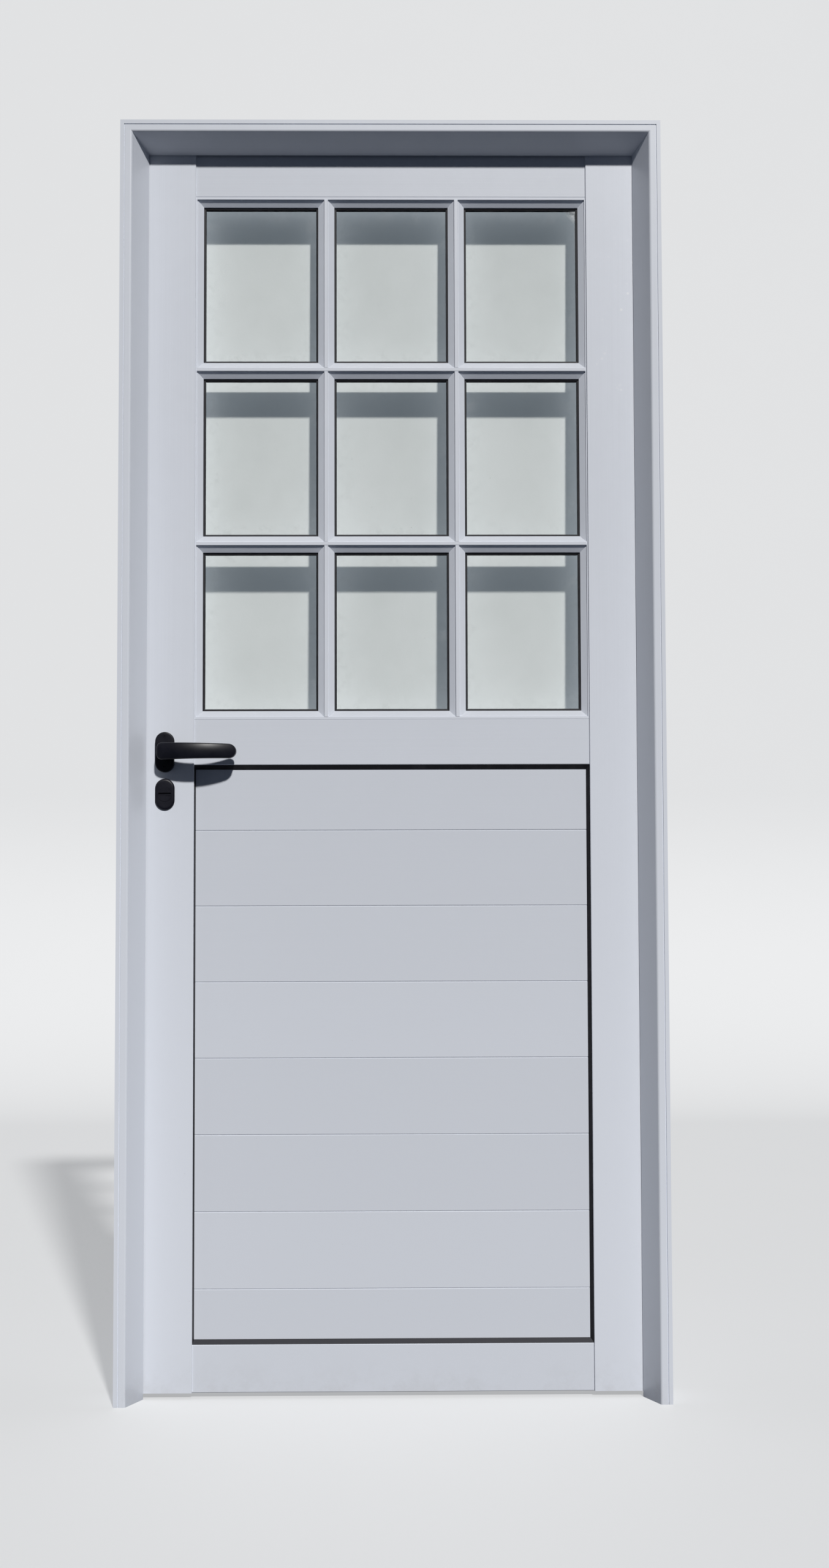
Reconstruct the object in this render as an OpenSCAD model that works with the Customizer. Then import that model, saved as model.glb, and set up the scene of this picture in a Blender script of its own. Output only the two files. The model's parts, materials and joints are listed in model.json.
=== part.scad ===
// Half-glazed hinged door in a three-sided frame. Millimetres.
// X across the opening, Y through it (the leaf opens towards +Y), Z up from the floor.

/* [Overall] */
// Width over the frame
frame_w = 900; // [700:10:1200]
// Height over the frame, floor to top
frame_h = 2110; // [1900:10:2400]
// Depth of the frame, front face to back face
frame_d = 95; // [80:1:120]

/* [Frame profile] */
// Width of the flat front face
face_w = 19; // [14:0.5:40]
// Reach of the splayed reveal, from the outer edge to the sight line
sight_w = 42; // [32:0.5:70]
// Depth of the splayed reveal, front face to the stop
stop_d = 46.5; // [30:0.5:60]
// Width of the hollow leg beside the leaf
leg_w = 29; // [22:0.5:34]
// Radius of the inner front corner
nose_r = 4; // [1:0.5:8]
// Width of the outer lip on the front face
lip_w = 6.5; // [4:0.5:9]
// Width of the groove beside the lip
groove_w = 1.6; // [1:0.2:3]
// Depth of the groove beside the lip
groove_d = 1.5; // [0.5:0.1:2]
// Wall thickness of every hollow profile
wall = 1.8; // [1.2:0.1:3]

/* [Leaf] */
// Gap between the leaf's edge and the frame's leg
side_gap = 4; // [3:0.5:6]
// Gap between the leaf and the floor
floor_gap = 9; // [4:1:20]
// Width of a stile beside the rails
stile_w = 88; // [70:1:120]
// Height of the top rail below the sight line
top_rail = 70; // [50:1:120]
// Height of the lock rail
lock_rail = 76; // [50:1:140]
// Underside of the lock rail above the floor
lock_rail_z = 1036; // [900:1:1200]
// Height of the bottom rail
bottom_rail = 77; // [50:1:200]
// How far the rails' faces lie behind the stiles' faces
rail_setback = 3; // [0:0.5:5]
// Chamfer on the long edges of the profiles
edge = 0.8; // [0.3:0.1:1.5]

/* [Glazing] */
// Panes across
cols = 3; // [1:1:4]
// Panes up
rows = 3; // [1:1:5]
// Width of a glazing bar
bar_w = 6.6; // [5:0.2:12]
// Glazing bar's face behind the stiles' face
bar_setback = 2.5; // [1:0.5:5]
// Lining strip along the rails
strip_rail = 4.2; // [2:0.2:8]
// Lining strip along the stiles
strip_stile = 2.1; // [1.6:0.1:8]
// Width of a sloped bead
bead_w = 10.3; // [7:0.1:16]
// Bead's outer edge behind the stiles' face
bead_setback = 5.5; // [4:0.5:12]
// Drop of the bead's slope
bead_drop = 7.2; // [4:0.5:12]
// Width of the gasket seen beside a bead
gasket_w = 3.6; // [2:0.1:6]
// Glass thickness
glass_t = 6; // [4:1:10]
// Gap round the edge of the glass
glass_gap = 3; // [2:0.5:5]

/* [Panel] */
// Pitch of the boards
board_pitch = 125.5; // [60:0.5:200]
// Height of the top board
top_board = 109; // [40:1:200]
// Thickness of the boards
board_t = 9; // [6:0.5:14]
// Boards' face behind the rails' face
panel_recess = 7; // [5:0.5:16]
// Chamfer at the joints between boards
board_v = 1.0; // [0.4:0.1:3]
// Width of the gasket above and below the boards
panel_gasket = 7.4; // [2:0.1:12]
// Width of the gasket at the lock side of the boards
panel_gasket_lock = 2.2; // [1:0.1:12]
// Width of the gasket at the hinge side of the boards
panel_gasket_hinge = 5.6; // [1:0.1:12]

/* [Lock and handles] */
// Lever axis above the floor
lever_z = 1057; // [900:1:1200]
// Lever axis down to the key's axis
key_drop = 70; // [68:1:92]
// Leaf's edge to the lever axis
backset = 40; // [35:1:45]
// Lever's reach from the leaf's face
lever_out = 48; // [42:1:65]
// Radius of the lever's bow, seen from above
bow_r = 146; // [100:1:400]
// Bow's furthest point from the lever's blunt end
bow_at = 62; // [30:1:90]
// Blunt end beyond the spindle's axis
grip_end = 10; // [8:0.5:16]
// Length of a lever's grip from end to end
lever_l = 130; // [100:1:160]
// Height of the grip at the neck
grip_h = 28; // [20:0.5:36]
// Radius of the grip's round tip
grip_tip_r = 11.8; // [8:0.1:16]
// Thickness of the grip
grip_t = 12; // [8:0.5:18]
// Radius of the lever's neck
neck_r = 8; // [6.5:0.5:9]
// Width of a rose
rose_w = 31.5; // [28:0.5:40]
// Height of a rose
rose_h = 67; // [60:1:76]
// Thickness of a rose
rose_t = 8; // [5:0.5:12]
// Width of a key plate
key_w = 32.5; // [30:0.5:40]
// Height of a key plate
key_h = 52; // [48:1:66]
// Thickness of a key plate
key_t = 4; // [4:0.5:12]
// Radius of the key's turning disc
rotor_r = 11.7; // [10:0.1:13]
// Latch throw
latch_throw = 11; // [9:0.5:12]
// Dead bolt throw
bolt_throw = 20; // [14:1:22]

/* [Hinges] */
// Lowest hinge above the floor, at its middle
hinge_low = 230; // [150:10:400]
// Highest hinge below the frame's top, at its middle
hinge_high = 230; // [180:10:400]
// Number of hinges
hinge_n = 3; // [2:1:4]
// Length of a hinge
hinge_l = 100; // [80:5:140]
// Outer radius of a knuckle
knuckle_r = 9; // [7:0.5:12]
// Pin radius
pin_r = 5; // [4:0.5:6]
// Thickness of a hinge's flap
flap_t = 4; // [3:0.5:6]

/* [Fixings] */
// Lowest wall fixing above the floor
fix_low = 400; // [200:10:500]
// Spacing of the wall fixings
fix_pitch = 800; // [500:10:850]
// Number of wall fixings in a jamb
fix_n = 3; // [2:1:3]
// Radius of a wall fixing hole
fix_r = 4; // [3:0.5:5]

/* [Hidden] */
paint = [0.82, 0.84, 0.86];
black = [0.07, 0.07, 0.08];
soft = [0.12, 0.12, 0.14];
steel = [0.66, 0.67, 0.69];
clear = [0.80, 0.86, 0.84, 0.35];
cr = 48;

leaf_y = stop_d + 1.5;                     // leaf's front face
leaf_b = frame_d;                          // leaf's back face
mid_y = (leaf_y + leaf_b) / 2;
y_mid = (min(0, leaf_y - lever_out) + leaf_b + lever_out) / 2;
leaf_w = frame_w - 2 * (leg_w + side_gap);
leaf_top = frame_h - leg_w - side_gap;
sill_z = floor_gap;
in_x = leaf_w / 2 - stile_w;               // stile's inner face
rail_f = leaf_y + rail_setback;
rail_b = leaf_b - rail_setback;
glaze_lo = lock_rail_z + lock_rail;
glaze_hi = frame_h - sight_w - top_rail;
panel_lo = floor_gap + bottom_rail;
panel_hi = lock_rail_z;
strip_f = rail_f;
bar_f = leaf_y + bar_setback;
bead_f = leaf_y + bead_setback;
bead_i = bead_f + bead_drop;
bead_k = bead_i + 2.5;
glass_f = bead_k + 2;
glass_b = glass_f + glass_t;
inner_bead_y = glass_b + 2.5;
opening_w = 2 * in_x;
opening_h = glaze_hi - glaze_lo;
sight_x = in_x - strip_stile;              // lining's inner face at the stiles

function tenth(v) = round(v * 10) / 10;   // bars are set out to the tenth
function bar_x(i) = tenth(-in_x + opening_w * i / cols);
function bar_z(j) = tenth(glaze_lo + opening_h * j / rows);
function cell_x0(i) = i == 0 ? -sight_x : bar_x(i) + bar_w / 2;
function cell_x1(i) = i == cols - 1 ? sight_x : bar_x(i + 1) - bar_w / 2;
function cell_z0(j) = j == 0 ? glaze_lo + strip_rail : bar_z(j) + bar_w / 2;
function cell_z1(j) = j == rows - 1 ? glaze_hi - strip_rail : bar_z(j + 1) - bar_w / 2;

face_y = rail_f + panel_recess;            // boards' front face
board_b = face_y + board_t;
joint_n = floor((panel_hi - top_board - panel_lo - 25) / board_pitch) + 1;
function joint_z(k) = panel_hi - top_board - k * board_pitch;

lock_x = -(leaf_w / 2 - backset);
key_z = lever_z - key_drop;
case_t = 17;
case_w = 59;
case_x0 = -leaf_w / 2 + wall;
case_x1 = case_x0 + case_w;
case_z0 = key_z - 37;
case_z1 = lever_z + 73;
case_wall = 1.5;
plate_z0 = case_z0 - 22;
plate_z1 = case_z1 + 22;
plate_w = 22;
latch_z = lever_z + 34;
latch_h = 18;
bolt_z = key_z + 28;
bolt_h = 24;
bolt_t = 12;
rose_screw = 24.5;
play = 0.15;

pin_x = leaf_w / 2 + side_gap / 2;
pin_y = frame_d + knuckle_r + 1;
hinge_step = (frame_h - hinge_high - hinge_low) / (hinge_n - 1);
function hinge_z(k) = hinge_low + k * hinge_step;
flap_w = leg_w - side_gap / 2;
knuckle_gap = 0.4;
mitre_gap = 0.05;                          // half the hairline at a bead's mitre

// --- shared shapes ---

module placed() translate([0, -y_mid, 0]) children();

module box(x0, x1, y0, y1, z0, z1)
  translate([x0, y0, z0]) cube([x1 - x0, y1 - y0, z1 - z0]);

// outline in X and Z, solid between two depths
module slab(pts, y0, y1)
  translate([0, y1, 0]) rotate([90, 0, 0]) linear_extrude(y1 - y0) polygon(pts);

// outline in Y and Z, solid between two places across
module run_x(pts, x0, x1)
  translate([x0, 0, 0]) rotate([90, 0, 90]) linear_extrude(x1 - x0) polygon(pts);

// outline in X and Y, solid between two heights
module run_z(pts, z0, z1)
  translate([0, 0, z0]) linear_extrude(z1 - z0) polygon(pts);

module rod_y(x, z, y0, y1, r)
  translate([x, y1, z]) rotate([90, 0, 0]) cylinder(h = y1 - y0, r = r, $fn = cr);

module rod_x(y, z, x0, x1, r)
  translate([x0, y, z]) rotate([0, 90, 0]) cylinder(h = x1 - x0, r = r, $fn = cr);

function chamfered(a0, a1, b0, b1, c) = [
  [a0 + c, b0], [a1 - c, b0], [a1, b0 + c], [a1, b1 - c],
  [a1 - c, b1], [a0 + c, b1], [a0, b1 - c], [a0, b0 + c]];
function plain(a0, a1, b0, b1) = [[a0, b0], [a1, b0], [a1, b1], [a0, b1]];

module both_sides() { children(); mirror([1, 0, 0]) children(); }

// four mitred lengths of one section round a rectangle; section in distance-in and depth
module mitred(x0, x1, z0, z1, pts, deep) {
  cx = (x0 + x1) / 2; cz = (z0 + z1) / 2;
  w = x1 - x0; h = z1 - z0;
  for (s = [[w, h, 0], [h, w, 90], [w, h, 180], [h, w, 270]])
    translate([cx, 0, cz]) rotate([0, s[2], 0]) intersection() {
      run_x([for (p = pts) [p[1], -s[1] / 2 + p[0]]], -s[0] / 2, s[0] / 2);
      slab([[-s[0] / 2 + mitre_gap, -s[1] / 2], [s[0] / 2 - mitre_gap, -s[1] / 2],
            [s[0] / 2 - deep - mitre_gap, -s[1] / 2 + deep], [-s[0] / 2 + deep + mitre_gap, -s[1] / 2 + deep]],
           -10, frame_d + 10);
    }
}

module ring(x0, x1, z0, z1, in0, in1, y0, y1)
  difference() {
    box(x0 + in0, x1 - in0, y0, y1, z0 + in0, z1 - in0);
    box(x0 + in1, x1 - in1, y0 - 1, y1 + 1, z0 + in1, z1 - in1);
  }

module each_pane()
  for (i = [0:cols - 1], j = [0:rows - 1]) {
    $px0 = cell_x0(i); $px1 = cell_x1(i); $pz0 = cell_z0(j); $pz1 = cell_z1(j);
    children();
  }

// --- frame ---

slope = (sight_w - face_w) / stop_d;
slope_l = sqrt(1 + slope * slope);
nose_t = nose_r / tan((90 + atan(slope)) / 2);

// section: distance in from the outer face, depth from the front
module frame_section()
  difference() {
    union() {
      polygon([
        [0, 0], [lip_w, 0], [lip_w, groove_d], [lip_w + groove_w, groove_d], [lip_w + groove_w, 0],
        [face_w - nose_t, 0], [face_w - nose_t, nose_r],
        [face_w + nose_t * slope / slope_l, nose_t / slope_l],
        [sight_w, stop_d], [leg_w, stop_d], [leg_w, frame_d - edge], [leg_w - edge, frame_d],
        [edge, frame_d], [0, frame_d - edge]]);
      translate([face_w - nose_t, nose_r]) circle(r = nose_r, $fn = cr);
    }
    polygon([
      [wall, groove_d + wall], [face_w + (groove_d + wall) * slope - wall * slope_l, groove_d + wall],
      [sight_w - wall * (slope + slope_l), stop_d - wall], [wall, stop_d - wall]]);
    polygon(plain(wall, leg_w - wall, stop_d, frame_d - wall));
  }

mitre = [[frame_w / 2 + 2, frame_h + 2], [frame_w / 2 - 80, frame_h - 80]];

module jamb()
  difference() {
    translate([frame_w / 2, 0, 0]) mirror([1, 0, 0]) linear_extrude(frame_h) frame_section();
    slab(concat(mitre, [[frame_w / 2 - 80, frame_h + 2]]), -2, frame_d + 2);
    for (k = [0:fix_n - 1])
      rod_x(mid_y, fix_low + k * fix_pitch, frame_w / 2 - leg_w - 1, frame_w / 2 + 1, fix_r);
  }

module frame_head() color(paint) placed()
  difference() {
    translate([-frame_w / 2, 0, frame_h]) rotate([0, 90, 0]) linear_extrude(frame_w) frame_section();
    both_sides() slab(concat(mitre, [[frame_w / 2 + 2, frame_h - 80]]), -2, frame_d + 2);
  }

module jamb_hinge() color(paint) placed()
  difference() {
    jamb();
    for (k = [0:hinge_n - 1], s = [-1, 1])
      rod_y(pin_x + flap_w - 9, hinge_z(k) + s * hinge_l * 0.36,
            frame_d - wall - 1, frame_d + 1, 2.55);
  }

module jamb_lock() color(paint) placed()
  difference() {
    mirror([1, 0, 0]) jamb();
    box(-frame_w / 2 + leg_w - wall - 0.5, -frame_w / 2 + leg_w + 0.5, mid_y - 8, mid_y + 8,
        latch_z - latch_h / 2 - 3, latch_z + latch_h / 2 + 3);
    box(-frame_w / 2 + leg_w - wall - 0.5, -frame_w / 2 + leg_w + 0.5, mid_y - 8, mid_y + 8,
        bolt_z - bolt_h / 2 - 3, bolt_z + bolt_h / 2 + 3);
    for (z = strike_screw_z) rod_x(mid_y, z, -frame_w / 2 + leg_w - wall - 1, -frame_w / 2 + leg_w + 1, 2.05);
  }

// crimped corner pieces in the hollow leg
module corner_cleats() color(steel) placed()
  both_sides() {
    a = wall + 0.3; b = leg_w - wall - 0.3; l = 80;
    slab([for (p = [[a, a], [l, a], [l, b], [b, b], [b, l], [a, l]])
          [frame_w / 2 - p[0], frame_h - p[1]]],
         stop_d + 3, frame_d - wall - 0.4);
  }

module stop_gasket() color(soft) placed() {
  g0 = min(leg_w + 5, sight_w - 4); g1 = sight_w - 1.2;
  both_sides() box(frame_w / 2 - g1, frame_w / 2 - g0, stop_d, stop_d + 1.4, 2, frame_h - g0);
  box(-frame_w / 2 + g1, frame_w / 2 - g1, stop_d, stop_d + 1.4, frame_h - g1, frame_h - g0);
}

strike_x = -frame_w / 2 + leg_w;
strike_screw_z = [bolt_z - bolt_h / 2 - 24, latch_z + latch_h / 2 + 24];

module strike_plate() color(steel) placed()
  difference() {
    slab_x(strike_x, strike_x + 2, mid_y, plate_w, strike_screw_z[0] - 14, strike_screw_z[1] + 14);
    box(strike_x - 1, strike_x + 3, mid_y - 7, mid_y + 7,
        latch_z - latch_h / 2 - 1.5, latch_z + latch_h / 2 + 1.5);
    box(strike_x - 1, strike_x + 3, mid_y - 7, mid_y + 7,
        bolt_z - bolt_h / 2 - 1.5, bolt_z + bolt_h / 2 + 1.5);
    for (z = strike_screw_z) countersunk_x(strike_x + 2, mid_y, z, 2.05, 4.1);
  }

module strike_screws() color(steel) placed()
  for (z = strike_screw_z) flat_screw_x(strike_x + 1.95, mid_y, z, 2, 4, 16);

// upright plate with round ends, lying across X
module slab_x(x0, x1, y, w, z0, z1) {
  box(x0, x1, y - w / 2, y + w / 2, z0 + w / 2, z1 - w / 2);
  for (z = [z0 + w / 2, z1 - w / 2]) rod_x(y, z, x0, x1, w / 2);
}

module countersunk_x(x, y, z, r, rh) {
  rod_x(y, z, x - 20, x + 1, r);
  translate([x - (rh - r), y, z]) rotate([0, 90, 0]) cylinder(h = rh - r + 0.01, r1 = r, r2 = rh, $fn = cr);
}

module flat_screw_x(x, y, z, r, rh, l)
  difference() {
    translate([x - l, y, z]) rotate([0, 90, 0]) rotate_extrude($fn = cr)
      polygon([[0, 0], [r, 1.5], [r, l - (rh - r)], [rh, l], [0, l]]);
    box(x - 0.8, x + 1, y - 0.5, y + 0.5, z - 2.6, z + 2.6);
    box(x - 0.8, x + 1, y - 2.6, y + 2.6, z - 0.5, z + 0.5);
  }

// --- hinges ---

module hinge_flap(s) {
  // s = 1 on the frame, -1 on the leaf
  near = knuckle_r + 1.5;
  for (k = [0:hinge_n - 1]) translate([pin_x, 0, hinge_z(k)]) {
    h = hinge_l / 2; q = hinge_l / 4;
    difference() {
      union() {
        slab([for (p = chamfered(near, flap_w, -h, h, 3)) [s * p[0], p[1]]],
             frame_d, frame_d + flap_t);
        for (b = s > 0 ? [[-h, -q - knuckle_gap / 2], [q + knuckle_gap / 2, h]]
                       : [[-q + knuckle_gap / 2, q - knuckle_gap / 2]]) {
          box(min(0, s * (near + 1)), max(0, s * (near + 1)), frame_d, frame_d + flap_t, b[0], b[1]);
          translate([0, pin_y, b[0]]) cylinder(h = b[1] - b[0], r = knuckle_r, $fn = cr);
        }
      }
      translate([0, pin_y, -h - 1]) cylinder(h = hinge_l + 2, r = pin_r + (s > 0 ? 0.02 : 0.06), $fn = cr);
      for (z = [-1, 1]) translate([s * (flap_w - 9), 0, z * hinge_l * 0.36]) {
        rod_y(0, 0, frame_d - 1, frame_d + flap_t + 1, 2.6);
        translate([0, frame_d + flap_t + 0.01, 0]) rotate([90, 0, 0])
          cylinder(h = 2.2, r1 = 4.8, r2 = 2.6, $fn = cr);
      }
    }
  }
}

module hinge_screw_set(s)
  for (k = [0:hinge_n - 1], z = [-1, 1])
    translate([pin_x + s * (flap_w - 9), frame_d + flap_t, hinge_z(k) + z * hinge_l * 0.36])
      difference() {
        rotate([90, 0, 0]) rotate_extrude($fn = cr)
          polygon([[0, 0], [4.7, 0], [2.5, 2.2], [2.5, 17], [0, 19]]);
        box(-0.5, 0.5, -0.9, 1, -3, 3);
        box(-3, 3, -0.9, 1, -0.5, 0.5);
      }

module hinge_frame_half() color(paint) placed() hinge_flap(1);
module hinge_leaf_half() color(paint) placed() hinge_flap(-1);
module hinge_screws_frame() color(steel) placed() hinge_screw_set(1);
module hinge_screws_leaf() color(steel) placed() hinge_screw_set(-1);

module hinge_pins() color(steel) placed()
  for (k = [0:hinge_n - 1]) translate([pin_x, pin_y, hinge_z(k) - hinge_l / 2])
    cylinder(h = hinge_l, r = pin_r, $fn = cr);

module hinge_caps() color(paint) placed()
  for (k = [0:hinge_n - 1], s = [0, 1])
    translate([pin_x, pin_y, hinge_z(k) + (s == 0 ? -1 : 1) * hinge_l / 2]) mirror([0, 0, 1 - s])
      rotate_extrude($fn = cr) polygon([[0, 0], [knuckle_r, 0], [knuckle_r, 2.5], [knuckle_r - 2, 4.5], [0, 4.5]]);

// --- leaf: stiles and rails ---

rail_ends = [[panel_lo - bottom_rail, panel_lo], [lock_rail_z, glaze_lo], [glaze_hi, leaf_top]];

module stile()
  difference() {
    run_z(chamfered(in_x, leaf_w / 2, leaf_y, leaf_b, edge), sill_z, leaf_top);
    run_z(plain(in_x + wall, leaf_w / 2 - wall, leaf_y + wall, leaf_b - wall), sill_z - 1, leaf_top + 1);
    for (r = rail_ends, s = [-1, 1])
      rod_x(mid_y, (r[0] + r[1]) / 2 + s * 17, in_x - 1, in_x + wall + 1, 2.5);
  }

module stile_hinge() color(paint) placed()
  difference() {
    stile();
    for (k = [0:hinge_n - 1], s = [-1, 1])
      rod_y(pin_x - flap_w + 9, hinge_z(k) + s * hinge_l * 0.36, leaf_b - wall - 1, leaf_b + 1, 2.55);
  }

module stile_lock() color(paint) placed()
  difference() {
    mirror([1, 0, 0]) stile();
    slab_x(-leaf_w / 2 - 1, -leaf_w / 2 + wall + 0.5, mid_y, plate_w + 0.4, plate_z0 - 0.2, plate_z1 + 0.2);
    rod_y(lock_x, lever_z, leaf_y - 1, leaf_b + 1, neck_r + 1.5);
    rod_y(lock_x, key_z, leaf_y - 1, leaf_b + 1, 9);
    for (s = [-1, 1]) rod_y(lock_x, lever_z + s * rose_screw, leaf_y - 1, leaf_b + 1, 2.6);
  }

module rail(z0, z1)
  difference() {
    run_x(chamfered(rail_f, rail_b, z0, z1, edge), -in_x, in_x);
    run_x(plain(rail_f + wall, rail_b - wall, z0 + wall, z1 - wall), -in_x - 1, in_x + 1);
  }

module rail_top() color(paint) placed() rail(rail_ends[2][0], rail_ends[2][1]);
module rail_lock() color(paint) placed() rail(rail_ends[1][0], rail_ends[1][1]);
module rail_bottom() color(paint) placed() rail(rail_ends[0][0], rail_ends[0][1]);

module rail_connectors() color(steel) placed()
  both_sides() for (r = rail_ends) difference() {
    z0 = r[0] + wall + 0.3; z1 = r[1] - wall - 0.3;
    box(in_x - 55, in_x, rail_f + wall + 0.3, rail_b - wall - 0.3, z0, z1);
    box(in_x - 56, in_x - 5, rail_f + wall + 3.3, rail_b - wall - 3.3, z0 + 4, z1 - 4);
    for (s = [-1, 1]) rod_x(mid_y, (r[0] + r[1]) / 2 + s * 17, in_x - 6, in_x + 1, 2.45);
  }

module connector_screws() color(steel) placed()
  both_sides() for (r = rail_ends, s = [-1, 1])
    translate([in_x + wall + 3, mid_y, (r[0] + r[1]) / 2 + s * 17]) rotate([0, -90, 0])
      difference() {
        rotate_extrude($fn = cr)
          polygon([[0, 0], [3.4, 0], [4.4, 1], [4.4, 3], [2.4, 3], [2.4, 17], [0, 19]]);
        translate([0, 0, -1]) cylinder(h = 2.6, r = 2, $fn = 6);
      }

// --- leaf: glazing ---

module glazing_lining() color(paint) placed() {
  for (z = [[glaze_lo, glaze_lo + strip_rail], [glaze_hi - strip_rail, glaze_hi]])
    run_x([[strip_f, z[0]], [strip_f, z[1]], [rail_b, z[1]], [rail_b, z[0]]], -in_x, in_x);
  both_sides() box(sight_x, in_x, strip_f, rail_b, glaze_lo + strip_rail + mitre_gap,
                   glaze_hi - strip_rail - mitre_gap);
}

bar_hollow = 1.5;

module bars_across() color(paint) placed()
  for (j = [1:1:rows - 1]) difference() {
    run_x(chamfered(bar_f, rail_b, bar_z(j) - bar_w / 2, bar_z(j) + bar_w / 2, edge), -sight_x, sight_x);
    run_x(plain(bar_f + 2, rail_b - 2, bar_z(j) - bar_w / 2 + bar_hollow, bar_z(j) + bar_w / 2 - bar_hollow),
          -sight_x - 1, sight_x + 1);
  }

module bars_upright() color(paint) placed()
  for (i = [1:1:cols - 1], j = [0:rows - 1]) difference() {
    run_z(chamfered(bar_x(i) - bar_w / 2, bar_x(i) + bar_w / 2, bar_f, rail_b, edge), cell_z0(j), cell_z1(j));
    run_z(plain(bar_x(i) - bar_w / 2 + bar_hollow, bar_x(i) + bar_w / 2 - bar_hollow, bar_f + 2, rail_b - 2),
          cell_z0(j) - 1, cell_z1(j) + 1);
  }

module beads_outer() color(paint) placed() each_pane()
  mitred($px0, $px1, $pz0, $pz1,
         [[0, bead_f], [0.8, bead_f], [bead_w, bead_i], [bead_w, bead_k], [0, bead_k]], bead_w + 2);

module beads_inner() color(paint) placed() each_pane()
  mitred($px0, $px1, $pz0, $pz1,
         [[0, inner_bead_y], [bead_w, inner_bead_y], [bead_w, inner_bead_y + 5],
          [0.8, rail_b - 2], [0, rail_b - 2]], bead_w + 2);

module glazing_gaskets_outer() color(soft) placed() each_pane()
  ring($px0, $px1, $pz0, $pz1, bead_w - 3, bead_w + gasket_w, bead_k, glass_f);

module glazing_gaskets_inner() color(soft) placed() each_pane()
  ring($px0, $px1, $pz0, $pz1, bead_w - 3, bead_w + gasket_w, glass_b, inner_bead_y);

module glass_panes() color(clear) placed() each_pane()
  box($px0 + glass_gap, $px1 - glass_gap, glass_f, glass_b, $pz0 + glass_gap, $pz1 - glass_gap);

module setting_blocks() color(black) placed() each_pane()
  for (x = [$px0 + 30, $px1 - 60]) box(x, x + 30, glass_f - 0.5, glass_b + 0.5, $pz0, $pz0 + glass_gap);

// --- leaf: boarded panel ---

tongue = 5;

// outline in Y and Z of one board
function board_outline(z0, z1, up, down) = concat(
  [[face_y + board_v, z0], [face_y, z0 + board_v], [face_y, z1 - board_v], [face_y + board_v, z1]],
  up ? [[face_y + 3, z1], [face_y + 3, z1 + tongue], [face_y + 6, z1 + tongue], [face_y + 6, z1]] : [],
  [[board_b - board_v, z1], [board_b, z1 - board_v], [board_b, z0 + board_v], [board_b - board_v, z0]],
  down ? [[face_y + 6.2, z0], [face_y + 6.2, z0 + tongue + 0.5],
          [face_y + 2.8, z0 + tongue + 0.5], [face_y + 2.8, z0]] : []);

module panel_boards() color(paint) placed()
  for (k = [0:joint_n]) {
    z1 = k == 0 ? panel_hi - 1 : joint_z(k - 1) - 0.1;
    z0 = k == joint_n ? panel_lo + 1 : joint_z(k) + 0.1;
    low = z0 + tongue + 2.5; high = z1 - 2; n = 3; web = 1.6;
    cell = (high - low - (n - 1) * web) / n;
    difference() {
      run_x(board_outline(z0, z1, k > 0, k < joint_n), -in_x + 1, in_x - 1);
      for (c = [0:n - 1])
        run_x(plain(face_y + 1.3, board_b - 1.3, low + c * (cell + web), low + c * (cell + web) + cell),
              -in_x, in_x);
    }
  }

// section of the sloped gasket in distance-in and depth
function panel_wedge(w) =
  [[0, rail_f + edge + 0.2], [0.6, rail_f + edge + 0.2], [w, face_y - 1], [w, face_y], [0, face_y]];

module panel_gasket_outer() color(soft) placed()
{
  for (e = [[panel_lo, 1], [panel_hi, -1]])
    run_x([for (p = panel_wedge(panel_gasket)) [p[1], e[0] + e[1] * p[0]]], -in_x, in_x);
  for (e = [[-in_x, 1, panel_gasket_lock], [in_x, -1, panel_gasket_hinge]])
    run_z([for (p = panel_wedge(e[2])) [e[0] + e[1] * p[0], p[1]]], panel_lo, panel_hi);
}

module panel_gasket_inner() color(soft) placed()
  ring(-in_x, in_x, panel_lo, panel_hi, 0, 6.2, board_b, board_b + 3);

module panel_beads_inner() color(paint) placed()
  mitred(-in_x, in_x, panel_lo, panel_hi,
         [[0, board_b + 3], [14, board_b + 3], [14, rail_b - 8], [8, rail_b - 2], [0, rail_b - 2]], 16);

// --- lock ---

module latch_window(g, x0, x1)
  box(x0, x1, mid_y - bolt_t / 2 - g, mid_y + bolt_t / 2 + g, latch_z - latch_h / 2 - g, latch_z + latch_h / 2 + g);

module bolt_window(g, x0, x1)
  box(x0, x1, mid_y - bolt_t / 2 - g, mid_y + bolt_t / 2 + g, bolt_z - bolt_h / 2 - g, bolt_z + bolt_h / 2 + g);

module lock_case() color(steel) placed()
  difference() {
    box(case_x0, case_x1, mid_y - case_t / 2, mid_y + case_t / 2, case_z0, case_z1);
    box(case_x0 + case_wall, case_x1 - case_wall, mid_y - case_t / 2 + case_wall, mid_y + case_t / 2 - case_wall,
        case_z0 + case_wall, case_z1 - case_wall);
    latch_window(play, case_x0 - 1, case_x0 + 3);
    bolt_window(play, case_x0 - 1, case_x0 + 3);
    rod_y(lock_x, lever_z, 0, frame_d, 8.05);
    rod_y(lock_x, key_z, 0, frame_d, 6.05);
    for (s = [-1, 1]) rod_y(lock_x, lever_z + s * rose_screw, 0, frame_d, 2.1);
  }

module lock_faceplate() color(steel) placed()
  difference() {
    slab_x(-leaf_w / 2, case_x0, mid_y, plate_w, plate_z0, plate_z1);
    latch_window(play, -leaf_w / 2 - 1, case_x0 + 1);
    bolt_window(play, -leaf_w / 2 - 1, case_x0 + 1);
    for (z = [plate_z0 + 11, plate_z1 - 11]) rod_x(mid_y, z, -leaf_w / 2 - 1, case_x0 + 1, 2.1);
  }

module lock_brackets() color(steel) placed()
  for (z = [plate_z0 - 12, plate_z1 - 18]) difference() {
    box(case_x0, case_x0 + 8, mid_y - plate_w / 2 - 4, mid_y + plate_w / 2 + 4, z, z + 30);
    for (q = [plate_z0 + 11, plate_z1 - 11]) rod_x(mid_y, q, case_x0 - 1, case_x0 + 9, 2.05);
  }

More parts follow.
